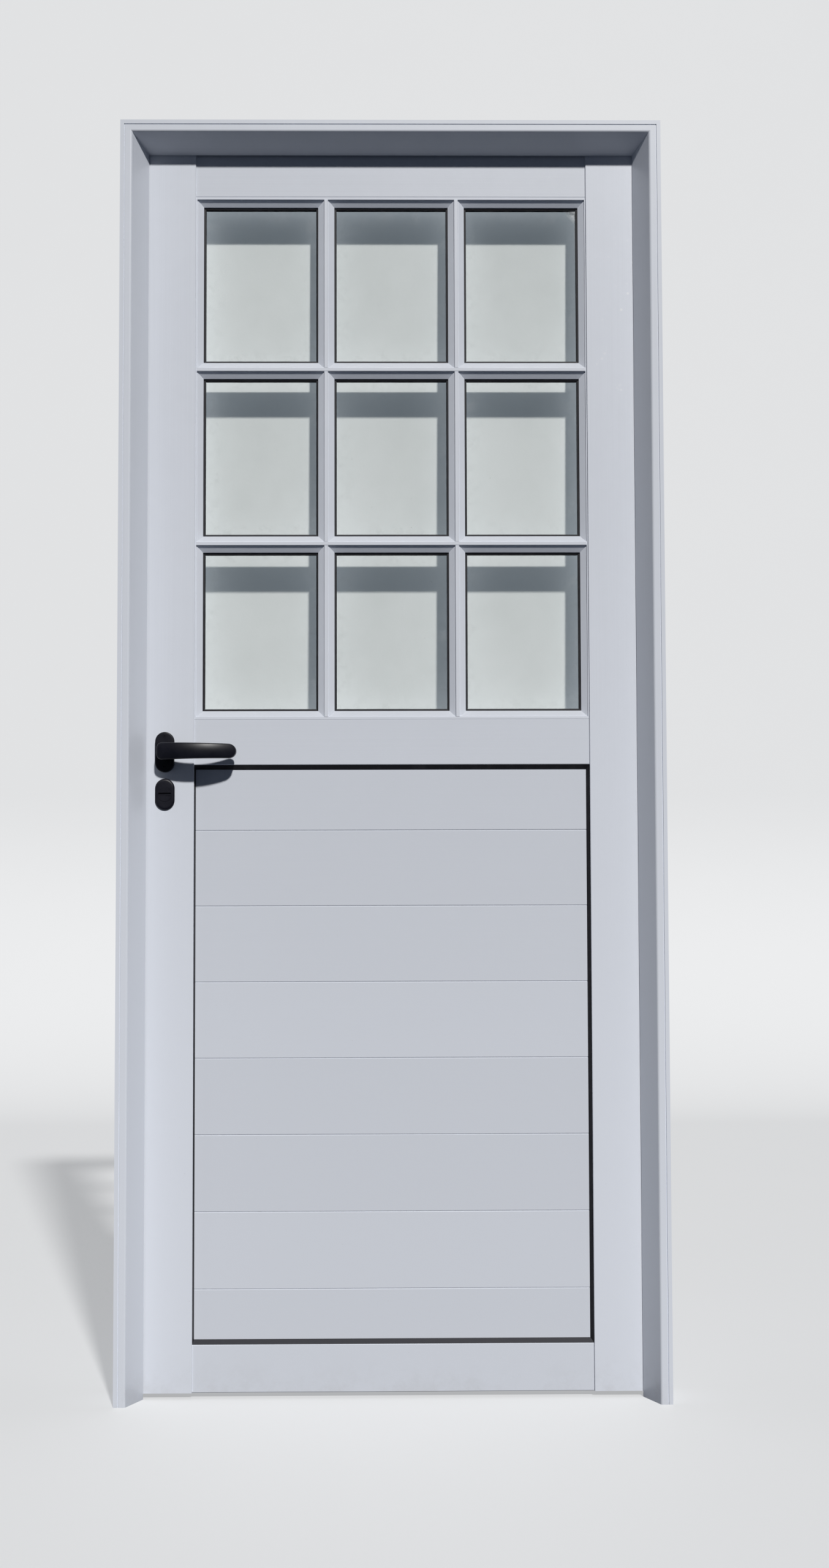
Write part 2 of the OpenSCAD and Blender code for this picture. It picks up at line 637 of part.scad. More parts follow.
module lock_screws() color(steel) placed()
  for (z = [plate_z0 + 11, plate_z1 - 11])
    translate([-leaf_w / 2 - 1, mid_y, z]) rotate([0, 90, 0]) difference() {
      rotate_extrude($fn = cr)
        polygon([[0, 0], [3.2, 0], [3.8, 0.6], [3.8, 1], [2, 1], [2, 12], [0, 14]]);
      translate([0, 0, -1]) cylinder(h = 1.7, r = 1.5, $fn = 6);
    }

module latch_bolt() color(steel) placed() {
  // bevel on the side that meets the frame first as the leaf closes
  tip = -leaf_w / 2 - latch_throw - 1; root = case_x0 + 15;
  run_z([[root, mid_y - bolt_t / 2], [-leaf_w / 2 - 1, mid_y - bolt_t / 2], [tip, mid_y + bolt_t / 2 - 2],
         [tip, mid_y + bolt_t / 2], [root, mid_y + bolt_t / 2]], latch_z - latch_h / 2, latch_z + latch_h / 2);
  box(root - 0.5, case_x1 - case_wall - latch_throw - 1, mid_y - 5.5, mid_y - 2.5, latch_z - 5, latch_z + 5);
}

module dead_bolt() color(steel) placed()
  difference() {
    box(-leaf_w / 2, case_x0 + 46, mid_y - bolt_t / 2, mid_y + bolt_t / 2,
        bolt_z - bolt_h / 2, bolt_z + bolt_h / 2);
    box(case_x0 + bolt_throw + 8, case_x0 + 40, mid_y - bolt_t, mid_y + bolt_t, bolt_z - 3, bolt_z + 3);
  }

// --- levers ---

grip_tip_x = lever_l - grip_end - grip_tip_r;
grip_c = 8;                                 // corner radius at the neck end
taper = asin((grip_h / 2 - grip_tip_r) / (grip_tip_x + grip_end - grip_c));
crown_r = 34;

// front outline of the grip, origin on the spindle
module grip_outline() {
  polygon([
    [-grip_end, -grip_h / 2 + grip_c], [-grip_end + grip_c, -grip_h / 2],
    [grip_tip_x + grip_tip_r * sin(taper), -grip_tip_r * cos(taper)],
    [grip_tip_x + grip_tip_r * sin(taper), grip_tip_r * cos(taper)],
    [-grip_end + grip_c, grip_h / 2], [-grip_end, grip_h / 2 - grip_c]]);
  for (s = [-1, 1]) translate([-grip_end + grip_c, s * (grip_h / 2 - grip_c)]) circle(r = grip_c, $fn = cr);
  translate([grip_tip_x, 0]) circle(r = grip_tip_r, $fn = cr);
}

bow_x = bow_at - grip_end;
function bow_drop(x) = bow_r - sqrt(bow_r * bow_r - (x - bow_x) * (x - bow_x));
neck_end = lever_out - bow_drop(-neck_r) - grip_t / 2 + 1;
socket_end = lever_out - bow_drop(0) - grip_t + 1;

// section of the bowed grip: flat back, crowned front, radius from the bow's centre
module grip_section()
  intersection() {
    translate([bow_r - crown_r, 0]) circle(r = crown_r, $fn = 96);
    translate([bow_r - grip_t, -grip_h / 2 - 1]) square([grip_t + 1, grip_h + 2]);
  }

// lever with its back on the leaf's face at y = 0, reaching to y = -lever_out
module lever_shape()
  difference() {
    union() {
      intersection() {
        translate([0, -grip_t / 2, 0]) rotate([90, 0, 0]) linear_extrude(lever_out) grip_outline();
        translate([bow_x, -lever_out + bow_r, 0]) rotate_extrude($fn = 180) grip_section();
      }
      rod_y(0, 0, -neck_end, -2, neck_r);
    }
    box(-4.05, 4.05, -socket_end, 0, -4.05, 4.05);
    translate([0, -rose_t - 5, -neck_r - 1]) cylinder(h = neck_r - 3, r = 2.05, $fn = 24);
  }

module lever_outer() color(black) placed() translate([lock_x, leaf_y, lever_z]) lever_shape();
module lever_inner() color(black) placed() translate([lock_x, leaf_b, lever_z]) mirror([0, 1, 0]) lever_shape();

module lever_grub_screws() color(steel) placed()
  for (y = [leaf_y - rose_t - 5, leaf_b + rose_t + 5]) translate([lock_x, y, lever_z - neck_r + 0.2])
    difference() {
      cylinder(h = neck_r - 4.4, r = 2, $fn = cr);
      translate([0, 0, -1]) cylinder(h = 2.4, r = 1.1, $fn = 6);
    }

module spindle() color(steel) placed()
  box(lock_x - 4, lock_x + 4, leaf_y - socket_end + 0.5, leaf_b + socket_end - 0.5, lever_z - 4, lever_z + 4);

module follower() color(steel) placed()
  difference() {
    union() {
      rod_y(lock_x, lever_z, mid_y - case_t / 2, mid_y + case_t / 2, 8);
      rod_y(lock_x, lever_z, mid_y - case_t / 2 + case_wall + 0.3, mid_y + case_t / 2 - case_wall - 0.3, 13);
      box(lock_x - 4, lock_x + 4, mid_y - 1, mid_y + 6, lever_z, lever_z + 19);
    }
    box(lock_x - 4.05, lock_x + 4.05, 0, frame_d, lever_z - 4.05, lever_z + 4.05);
  }

// upright plate with round ends and a sloped rim, back face at y = 0, front at y = -t
module oval_plate(w, h, t, c)
  for (l = [[0, t - c, w / 2, w / 2], [t - c, t, w / 2, w / 2 - c]]) {
    for (s = [-1, 1]) translate([0, -l[0], s * (h - w) / 2]) rotate([90, 0, 0])
      cylinder(h = l[1] - l[0], r1 = l[2], r2 = l[3], $fn = cr);
    run_z([[-l[2], -l[0]], [-l[3], -l[1]], [l[3], -l[1]], [l[2], -l[0]]], -(h - w) / 2, (h - w) / 2);
  }

module rose()
  difference() {
    oval_plate(rose_w, rose_h, rose_t, 1.6);
    rod_y(0, 0, -rose_t - 1, 1, neck_r + 0.05);
    for (s = [-1, 1]) {
      rod_y(0, s * rose_screw, -rose_t - 1, 1, 2.1);
      rod_y(0, s * rose_screw, -rose_t - 1, -rose_t + 2.4, 3.1);
    }
  }

module key_plate()
  difference() {
    oval_plate(key_w, key_h, key_t, 3);
    rod_y(0, 0, -key_t - 1, 1, rotor_r + 0.08);
  }

module rose_outer() color(black) placed() translate([lock_x, leaf_y, lever_z]) rose();
module rose_inner() color(black) placed() translate([lock_x, leaf_b, lever_z]) mirror([0, 1, 0]) rose();
module key_plate_outer() color(black) placed() translate([lock_x, leaf_y, key_z]) key_plate();
module key_plate_inner() color(black) placed() translate([lock_x, leaf_b, key_z]) mirror([0, 1, 0]) key_plate();

module rose_bolts() color(steel) placed()
  for (s = [-1, 1]) translate([lock_x, leaf_y - rose_t + 0.4, lever_z + s * rose_screw]) {
    long = leaf_b - leaf_y + 2 * rose_t - 0.8;
    difference() {
      union() {
        rotate([-90, 0, 0]) cylinder(h = long, r = 2, $fn = cr);
        rotate([-90, 0, 0]) cylinder(h = 2, r = 3, $fn = cr);
        translate([0, long, 0]) rotate([90, 0, 0]) cylinder(h = 2, r = 3, $fn = cr);
      }
      box(-0.4, 0.4, -1, 0.9, -2.4, 2.4);
    }
  }

// one piece from face to face: disc, shaft, cam, shaft, disc
module key_rotor() color(steel) placed() translate([lock_x, 0, key_z])
  difference() {
    union() {
      for (y = [[leaf_y - key_t - 0.5, leaf_y - 1], [leaf_b + 1, leaf_b + key_t + 0.5]])
        rod_y(0, 0, y[0], y[1], rotor_r);
      rod_y(0, 0, leaf_y - 2, leaf_b + 2, 6);
      rod_y(0, 0, mid_y - case_t / 2 + case_wall + 0.4, mid_y + case_t / 2 - case_wall - 0.4, 12);
      box(-3.5, 3.5, mid_y - 5, mid_y + 5, 0, 15);
    }
    for (y = [[leaf_y - key_t - 2, leaf_y - key_t + 1.9], [leaf_b + key_t - 1.9, leaf_b + key_t + 2]]) {
      box(-10.4, 10.4, y[0], y[1], -0.6, 2.6);
      box(-10.4, 0, y[0], y[1], -2.6, 0);
      box(1, 9.6, y[0], y[1], -2.6, -2);
    }
  }

frame_head();
jamb_lock();
jamb_hinge();
corner_cleats();
stop_gasket();
strike_plate();
strike_screws();
hinge_frame_half();
hinge_pins();
hinge_caps();
hinge_screws_frame();
hinge_leaf_half();
hinge_screws_leaf();
stile_lock();
stile_hinge();
rail_top();
rail_lock();
rail_bottom();
rail_connectors();
connector_screws();
glazing_lining();
bars_across();
bars_upright();
beads_outer();
beads_inner();
glazing_gaskets_outer();
glazing_gaskets_inner();
glass_panes();
setting_blocks();
panel_boards();
panel_gasket_outer();
panel_gasket_inner();
panel_beads_inner();
lock_case();
lock_faceplate();
lock_brackets();
lock_screws();
latch_bolt();
dead_bolt();
lever_outer();
lever_inner();
lever_grub_screws();
spindle();
follower();
rose_outer();
rose_inner();
rose_bolts();
key_plate_outer();
key_plate_inner();
key_rotor();
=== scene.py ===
import bpy, bmesh, json, math
from mathutils import Matrix, Vector

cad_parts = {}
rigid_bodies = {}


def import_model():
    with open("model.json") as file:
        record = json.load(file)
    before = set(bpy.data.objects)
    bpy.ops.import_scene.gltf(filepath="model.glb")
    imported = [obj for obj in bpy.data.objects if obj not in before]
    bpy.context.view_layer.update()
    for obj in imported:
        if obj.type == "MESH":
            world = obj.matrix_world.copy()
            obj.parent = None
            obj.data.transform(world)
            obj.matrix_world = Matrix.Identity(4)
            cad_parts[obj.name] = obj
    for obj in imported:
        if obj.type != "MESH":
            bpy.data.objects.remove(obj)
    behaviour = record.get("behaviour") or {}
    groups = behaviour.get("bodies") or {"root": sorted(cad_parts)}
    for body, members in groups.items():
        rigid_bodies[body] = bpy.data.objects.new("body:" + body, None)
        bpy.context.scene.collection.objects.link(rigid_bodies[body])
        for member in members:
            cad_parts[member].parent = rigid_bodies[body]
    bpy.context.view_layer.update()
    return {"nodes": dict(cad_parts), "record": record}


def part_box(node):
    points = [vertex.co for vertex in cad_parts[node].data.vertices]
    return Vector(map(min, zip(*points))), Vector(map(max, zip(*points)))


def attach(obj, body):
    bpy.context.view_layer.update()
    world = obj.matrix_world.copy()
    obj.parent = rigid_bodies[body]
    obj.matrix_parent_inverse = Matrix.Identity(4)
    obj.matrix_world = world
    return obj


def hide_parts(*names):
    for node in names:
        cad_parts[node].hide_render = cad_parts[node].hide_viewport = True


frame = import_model()
nodes = frame["nodes"]
mm = 0.001


def tinted(colour, amount):
    return [c * amount for c in colour]


def islandBoxes(name):                       # one (low, high) pair for each separate solid of a node
    bm = bmesh.new()
    bm.from_mesh(nodes[name].data)
    bmesh.ops.remove_doubles(bm, verts=bm.verts, dist=1e-6)
    left, boxes = set(bm.verts), []
    while left:
        todo, seen = [left.pop()], []
        while todo:
            v = todo.pop()
            seen.append(v.co.copy())
            for e in v.link_edges:
                o = e.other_vert(v)
                if o in left:
                    left.discard(o)
                    todo.append(o)
        boxes.append((Vector([min(c[i] for c in seen) for i in range(3)]),
                      Vector([max(c[i] for c in seen) for i in range(3)])))
    bm.free()
    return sorted(boxes, key=lambda b: (round(b[0].z, 4), round(b[0].x, 4)))


class Val:                                   # a number socket that ordinary sums work on
    def __init__(self, maker, socket):
        self.maker, self.socket = maker, socket

    def math(self, operation, *others):
        given = dict(enumerate((self,) + others))
        return self.maker.value("ShaderNodeMath", {"operation": operation}, given)

    def reflected(self, operation, other):
        return self.maker.value("ShaderNodeMath", {"operation": operation}, {0: other, 1: self})

    def __add__(self, other):
        return self.math("ADD", other)

    def __radd__(self, other):
        return self.reflected("ADD", other)

    def __sub__(self, other):
        return self.math("SUBTRACT", other)

    def __rsub__(self, other):
        return self.reflected("SUBTRACT", other)

    def __mul__(self, other):
        return self.math("MULTIPLY", other)

    def __truediv__(self, other):
        return self.math("DIVIDE", other)

    def __abs__(self):
        return self.math("ABSOLUTE")

    def __gt__(self, other):
        return self.math("GREATER_THAN", other)

    def least(self, other):
        return self.math("MINIMUM", other)

    def most(self, other):
        return self.math("MAXIMUM", other)

    def floor(self):
        return self.math("FLOOR")

    def fract(self):
        return self.math("FRACT")

    def ramp(self, low, high):               # 0 at low, 1 at high, smooth between
        return self.maker.value("ShaderNodeMapRange", {"interpolation_type": "SMOOTHSTEP"},
                                {"Value": self, "From Min": low, "From Max": high}, "Result")


class Tree:                                  # every node of every tree is made by node()
    def __init__(self, tree):
        self.tree = tree

    def node(self, kind, settings=None, sockets=None):
        node = self.tree.nodes.new(kind)
        for key, value in (settings or {}).items():
            setattr(node, key, value)
        for key, value in (sockets or {}).items():
            self.put(node.inputs[key], value)
        return node

    def put(self, socket, value):
        if isinstance(value, Val):
            value = value.socket
        if isinstance(value, bpy.types.NodeSocket):
            self.tree.links.new(value, socket)
        elif socket.type == "RGBA":
            socket.default_value = (*value[:3], 1)
        else:
            socket.default_value = value

    def value(self, kind, settings=None, sockets=None, out=0):
        return Val(self, self.node(kind, settings, sockets).outputs[out])

    def blend(self, amount, a, b):           # colour a where amount is 0, colour b where it is 1
        return self.node("ShaderNodeMix", {"data_type": "RGBA"}, {0: amount, 6: a, 7: b}).outputs[2]


class Finish(Tree):                          # one material and the few calls that build it
    def __init__(self, name, **fixed):
        self.material = bpy.data.materials.new(name)
        self.material.use_nodes = True
        super().__init__(self.material.node_tree)
        self.shader = self.tree.nodes["Principled BSDF"]
        for socket, value in fixed.items():
            self.put(self.shader.inputs[socket.replace("_", " ")], value)
        self.place = self.node("ShaderNodeTexCoord").outputs["Object"]
        split = self.node("ShaderNodeSeparateXYZ", None, {"Vector": self.place})
        self.x, self.y, self.z = (Val(self, split.outputs[i]) for i in range(3))

    def stretched(self, scale):
        return self.node("ShaderNodeMapping", None, {"Vector": self.place, "Scale": scale}).outputs[0]

    def noise(self, scale, detail=3.0, rough=0.55, where=None):
        return self.value("ShaderNodeTexNoise", None, {"Vector": where or self.place, "Scale": scale,
                                                       "Detail": detail, "Roughness": rough})

    def specks(self, scale, share, small, large):   # round dots in a share of the cells
        cell = self.node("ShaderNodeTexVoronoi", None, {"Vector": self.place, "Scale": scale})
        pick = self.value("ShaderNodeSeparateColor", None, {"Color": cell.outputs["Color"]})
        return (1 - Val(self, cell.outputs["Distance"]).ramp(small, large)) * (pick > 1 - share)

    def facing(self, axis):                  # how far the surface looks along an axis
        normal = self.node("ShaderNodeNewGeometry").outputs["Normal"]
        return self.value("ShaderNodeSeparateXYZ", None, {"Vector": normal}, axis)

    def feed(self, **values):
        for socket, value in values.items():
            self.put(self.shader.inputs[socket.replace("_", " ")], value)

    def bump(self, height, distance, strength):
        return self.node("ShaderNodeBump", None, {"Height": height, "Distance": distance,
                                                  "Strength": strength}).outputs[0]


paint = {
    "colour": (0.693, 0.726, 0.792), "shade": (0.672, 0.704, 0.767), "paintedLightLow": 1.125,
    "rough": 0.30, "coat": 0.25, "coatRough": 0.13, "peelDepth": 0.00007,
    "dust": (0.40, 0.38, 0.35), "dustTop": 0.10, "paintedLightBead": 1.20, "paintedShadeBead": 0.86,
    "boardStep": 0.3, "boardShade": 0.985,
    "splash": (0.86, 0.87, 0.88), "splashFoot": (1.50, 1.66), "splashHead": (1.90, 1.96),
    "splashSide": 0.345, "sawnTop": 0.012, "sawnDark": (0.42, 0.42, 0.43), "sawnPale": (0.62, 0.62, 0.63)}
lineScale = {"x": (2.0, 520, 520), "z": (520, 520, 2.0)}
boards = islandBoxes("panel_boards")
boardPitch = boards[2][0].z - boards[1][0].z
boardFoot = boards[1][0].z - boardPitch - 0.1 * mm   # counted from just under a board's lower edge


def settledDust(f):                          # low on the door, on ledges and in a few specks
    low = 1 - f.z.ramp(0.010, paint["dustTop"])
    foot = low * low * 0.16 * f.noise(24, 5, 0.7).ramp(0.40, 0.75)
    ledge = f.facing(2).ramp(0.55, 0.95) * 0.10 * f.noise(90, 3, 0.6).ramp(0.35, 0.7)
    return foot.most(ledge).most(f.specks(120, 0.022, 0.03, 0.10) * 0.30)


def driedSplashes(f):                        # near the top of the hinge stile
    near = f.z.ramp(*paint["splashFoot"]) * (1 - f.z.ramp(*paint["splashHead"])) * (f.x > paint["splashSide"])
    drops = f.specks(95, 0.30, 0.10, 0.30).most(f.noise(60, 5, 0.75).ramp(0.60, 0.72) * 0.8)
    return drops * near * f.noise(9, 3, 0.6).ramp(0.50, 0.62)


def powderCoat(name, along=None, tint=1.0, bareEnds=False, boards=False, splashed=False, bead=False):
    f = Finish(name, IOR=1.5, Coat_Weight=paint["coat"], Coat_Roughness=paint["coatRough"])
    light, dark = (tinted(paint[k], tint) for k in ("colour", "shade"))
    cloud = f.noise(2.3, 3, 0.55)
    fine = f.noise(34, 4, 0.6)
    tone = cloud * 0.6 + fine * 0.4
    height = f.noise(430, 2, 0.5) * 0.7 + f.noise(60, 2, 0.5)
    rough = paint["rough"] + cloud * 0.06 + fine * 0.03
    if along:                                # faint lines left by the die, along the profile
        lines = f.noise(1.0, 3, 0.65, f.stretched(lineScale[along]))
        tone = tone * 0.55 + lines * 0.45
        height = height + lines * 0.35
        rough = rough + lines * 0.04
    colour = f.blend(tone.ramp(0.36, 0.64), dark, light)
    # painted light: the paint is made paler towards the floor
    colour = f.blend(1 - f.z.ramp(0.15, 1.9), colour, tinted(light, paint["paintedLightLow"]))
    if bead:                                 # painted light where it looks down, painted shade where it looks up
        colour = f.blend(f.facing(2).ramp(-0.1, -0.5), colour, tinted(light, paint["paintedLightBead"]))
        colour = f.blend(f.facing(2).ramp(0.1, 0.5), colour, tinted(light, paint["paintedShadeBead"]))
    if boards:                               # each board is its own length of profile
        step = f.value("ShaderNodeTexWhiteNoise", {"noise_dimensions": "1D"},
                       {"W": ((f.z - boardFoot) / boardPitch).floor()})
        colour = f.blend(step * paint["boardStep"], colour, tinted(dark, paint["boardShade"]))
    marks = settledDust(f)
    colour = f.blend(marks, colour, paint["dust"])
    rough = rough + marks * 0.35
    if splashed:
        drops = driedSplashes(f)
        colour = f.blend(drops * 0.55, colour, paint["splash"])
        rough = rough + drops * 0.2
    if bareEnds:                             # sawn ends show the metal
        sawn = f.noise(60, 4, 0.6, f.stretched((1, 14, 1)))
        bare = (abs(f.facing(2)) > 0.94) * (1 - (f.z > paint["sawnTop"]))
        colour = f.blend(bare, colour, f.blend(sawn, paint["sawnDark"], paint["sawnPale"]))
        rough = rough * (1 - bare) + bare * (0.28 + sawn * 0.25)
        f.feed(Metallic=bare * 0.9)
    f.feed(Base_Color=colour, Roughness=rough, Normal=f.bump(height, paint["peelDepth"], 0.6))
    return f.material


blackCoat = {"deep": (0.0045, 0.0047, 0.0095), "pale": (0.0078, 0.0080, 0.0140), "dust": (0.14, 0.14, 0.14),
             "grain": 0.00006}


def satinBlack(name, shine, rough):
    f = Finish(name, IOR=1.5, Specular_IOR_Level=shine)
    cloud = f.noise(60, 4, 0.6)
    dust = f.noise(260, 6, 0.75).ramp(0.58, 0.80).most(f.specks(520, 0.05, 0.08, 0.25))
    colour = f.blend(cloud.ramp(0.3, 0.7), blackCoat["deep"], blackCoat["pale"])
    f.feed(Base_Color=f.blend(dust * 0.08, colour, blackCoat["dust"]),
           Roughness=rough + cloud * 0.07 + dust * 0.10,
           Normal=f.bump(f.noise(1100, 3, 0.6) + f.noise(240, 2, 0.5) * 0.6, blackCoat["grain"], 0.5))
    return f.material


def brushedMetal(name, colour, along, rough):
    f = Finish(name, Metallic=1.0)
    lines = f.noise(140, 5, 0.7, f.stretched(along))
    stain = f.noise(26, 5, 0.65).ramp(0.45, 0.8)
    base = f.blend(lines, tinted(colour, 0.8), colour)
    f.feed(Base_Color=f.blend(stain * 0.5, base, tinted(colour, 0.55)),
           Roughness=rough + lines * 0.14 + stain * 0.18, Normal=f.bump(lines, 0.00004, 0.6))
    return f.material


seal = {"heart": (0.018, 0.018, 0.022), "bloom": (0.050, 0.050, 0.058), "dust": (0.044, 0.046, 0.062),
        "rough": 0.52, "grain": 0.00006}


def rubber(name):                            # black at heart, grey with dust where it looks up
    f = Finish(name, IOR=1.45, Specular_IOR_Level=0.30)
    bloom = f.noise(45, 6, 0.7).ramp(0.45, 0.85)
    dust = f.facing(2).ramp(0.15, 0.75) * (0.45 + f.noise(130, 4, 0.7) * 0.7)
    colour = f.blend(bloom * 0.6, seal["heart"], seal["bloom"])
    f.feed(Base_Color=f.blend(dust * 0.40, colour, seal["dust"]), Roughness=seal["rough"] + bloom * 0.2,
           Normal=f.bump(f.noise(1400, 2, 0.6) + f.noise(90, 2, 0.5), seal["grain"], 0.6))
    return f.material


packer = {"dark": (0.020, 0.020, 0.022), "pale": (0.035, 0.035, 0.038), "rough": 0.42, "grain": 0.00008}


def mouldedPlastic(name):
    f = Finish(name, IOR=1.46)
    grain = f.noise(700, 3, 0.6)
    f.feed(Base_Color=f.blend(grain, packer["dark"], packer["pale"]),
           Roughness=packer["rough"] + grain * 0.15, Normal=f.bump(grain, packer["grain"], 0.5))
    return f.material


glass = {
    "clear": (0.750, 0.780, 0.760), "hazed": (0.70, 0.73, 0.71), "wave": 0.0008,
    "film": (0.70, 0.71, 0.70), "filmRough": 0.75, "rim": (0.012, 0.055),
    "smear": (0.55, 0.57, 0.60), "smearInset": (9.5 * mm, 7.5 * mm), "smearSide": (0.004, 0.010),
    "smearDrop": (0.050, 0.120), "smearCurve": (0.026, 0.046)}
glazed = {"side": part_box("rail_top")[1].x, "foot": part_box("rail_lock")[1].z, "head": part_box("rail_top")[0].z}
panePitch = (2 * glazed["side"] / 3, (glazed["head"] - glazed["foot"]) / 3)   # three panes each way


def paneFilm(f):                             # along the beads, with a few specks and faint clouds
    acrossPane = (f.x / panePitch[0] + 0.5).fract()   # 0 and 1 at the bars
    upPane = ((f.z - glazed["foot"]) / panePitch[1]).fract()
    rimX = acrossPane.least(1 - acrossPane) * panePitch[0]
    rimZ = upPane.least(1 - upPane) * panePitch[1]
    film = (1 - rimX.least(rimZ).ramp(*glass["rim"])) * f.noise(38, 6, 0.7).ramp(0.45, 0.75) * 0.09
    film = film.most(f.specks(90, 0.02, 0.02, 0.09) * 0.30)
    return film.most(f.noise(3.0, 6, 0.7).ramp(0.60, 0.85) * 0.07)


def sealantSmear(f, wander):                 # in the top corner of the pane next to the hinge stile
    cornerX = glazed["side"] - glass["smearInset"][0] - f.x
    cornerZ = glazed["head"] - glass["smearInset"][1] - f.z
    down = (1 - cornerX.ramp(*glass["smearSide"])) * (1 - cornerZ.ramp(*glass["smearDrop"]))
    curve = 1 - (cornerX + cornerZ * 0.75 + wander * 0.016).ramp(*glass["smearCurve"])
    curve = curve * wander.ramp(0.30, 0.55)
    return (down * 0.45).most(curve * 0.75) * ((cornerX > -0.01) * (cornerZ > -0.01))


def floatGlass(name):
    f = Finish(name, IOR=1.46, Transmission_Weight=1.0)
    haze = f.noise(5.0, 5, 0.6, f.stretched((1, 1, 0.6)))
    f.feed(Base_Color=f.blend(haze.ramp(0.35, 0.75), glass["clear"], glass["hazed"]),
           Roughness=haze.ramp(0.35, 0.9) * 0.012, Normal=f.bump(f.noise(2.2, 1, 0.4), glass["wave"], 0.25))
    wander = f.noise(55, 4, 0.65)
    chalk = f.node("ShaderNodeBsdfPrincipled", None, {
        "Base Color": f.blend(wander, glass["film"], glass["smear"]), "Roughness": glass["filmRough"]})
    mixed = f.node("ShaderNodeMixShader", None, {
        0: paneFilm(f).most(sealantSmear(f, wander)), 1: f.shader.outputs[0], 2: chalk.outputs[0]})
    f.tree.links.new(mixed.outputs[0], f.tree.nodes["Material Output"].inputs["Surface"])
    return f.material


finishes = {
    "white": powderCoat("whitePowderCoat"),
    "whiteUpright": powderCoat("whitePowderCoatUpright", "z"),
    "whiteAcross": powderCoat("whitePowderCoatAcross", "x"),
    "whiteJamb": powderCoat("whitePowderCoatJamb", "z", bareEnds=True),
    "whiteStile": powderCoat("whitePowderCoatStile", "z", bareEnds=True),
    "whiteHingeStile": powderCoat("whitePowderCoatHingeStile", "z", bareEnds=True, splashed=True),
    "whiteRail": powderCoat("whitePowderCoatRail", "x", tint=0.95),
    "whiteBoards": powderCoat("whitePowderCoatBoards", "x", tint=0.935, boards=True),
    # the beads are painted a little lighter all over: painted light
    "whiteBead": powderCoat("whitePowderCoatBead", tint=1.04, bead=True),
    "black": satinBlack("blackPowderCoat", 0.28, 0.38),
    "blackLever": satinBlack("blackPowderCoatLever", 0.37, 0.37),
    "steel": brushedMetal("brushedSteel", (0.60, 0.60, 0.62), (1, 1, 12), 0.26),
    "zinc": brushedMetal("zincPlated", (0.55, 0.56, 0.58), (4, 4, 4), 0.34),
    "mill": brushedMetal("millAluminium", (0.68, 0.68, 0.70), (12, 1, 1), 0.36),
    "rubber": rubber("gasketRubber"),
    "plastic": mouldedPlastic("packerPlastic"),
    "glass": floatGlass("paneGlass"),
}
nodeFinish = {
    "frame_head": "whiteAcross", "jamb_lock": "whiteJamb", "jamb_hinge": "whiteJamb",
    "stile_lock": "whiteStile", "stile_hinge": "whiteHingeStile", "rail_top": "whiteRail",
    "rail_lock": "whiteRail", "rail_bottom": "whiteRail", "bars_across": "whiteAcross",
    "bars_upright": "whiteUpright", "panel_boards": "whiteBoards", "beads_outer": "whiteBead",
    "beads_inner": "whiteBead", "corner_cleats": "mill", "rail_connectors": "mill",
    "glass_panes": "glass", "setting_blocks": "plastic", "strike_plate": "steel",
    "lock_faceplate": "steel", "latch_bolt": "steel", "dead_bolt": "steel",
    "key_rotor": "black", "rose_bolts": "black"}
slotFinish = {"paint": "white", "black": "black", "steel": "zinc", "aluminium": "mill", "gasket": "rubber",
              "glass": "glass", "plastic": "plastic"}
slotOf = {p["node"]: p["material_slot"] for p in frame["record"]["subparts"]}
for name, piece in nodes.items():
    piece.data.materials.clear()
    piece.data.materials.append(finishes[nodeFinish.get(name, slotFinish[slotOf[name]])])
print("finishes on", len(nodes), "nodes")


def newPiece(name, mesh, body, finish, standsFor):
    piece = bpy.data.objects.new(name, mesh)
    bpy.context.scene.collection.objects.link(piece)
    mesh.materials.clear()
    mesh.materials.append(finishes[finish])
    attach(piece, body)
    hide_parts(*standsFor)


def cleanMesh(name, bm, smooth):             # edges flatter than smooth degrees are shaded round
    bmesh.ops.remove_doubles(bm, verts=bm.verts, dist=1e-6)
    bmesh.ops.dissolve_degenerate(bm, edges=bm.edges, dist=1e-7)
    bmesh.ops.recalc_face_normals(bm, faces=bm.faces)
    mesh = bpy.data.meshes.new(name)
    limit = math.radians(smooth)
    for e in bm.edges:
        e.smooth = len(e.link_faces) == 2 and e.calc_face_angle(0) < limit
    for face in bm.faces:
        face.smooth = True
    bm.to_mesh(mesh)
    bm.free()
    return mesh


# a gasket follows rectangles or open runs drawn flat, then the tree stands it up
gasket = {"step": 3.0 * mm, "waveLength": 26.0, "cornerCuts": 4, "edgeCuts": 3, "smooth": 50}
paneGasket = {"width": 6.6 * mm, "edge": 0.42, "corner": 1.6 * mm, "waviness": 0.30 * mm}
stopGasket = {"width": 6.8 * mm, "edge": 0.6 * mm, "corner": 0.5 * mm, "waviness": 0.1 * mm}


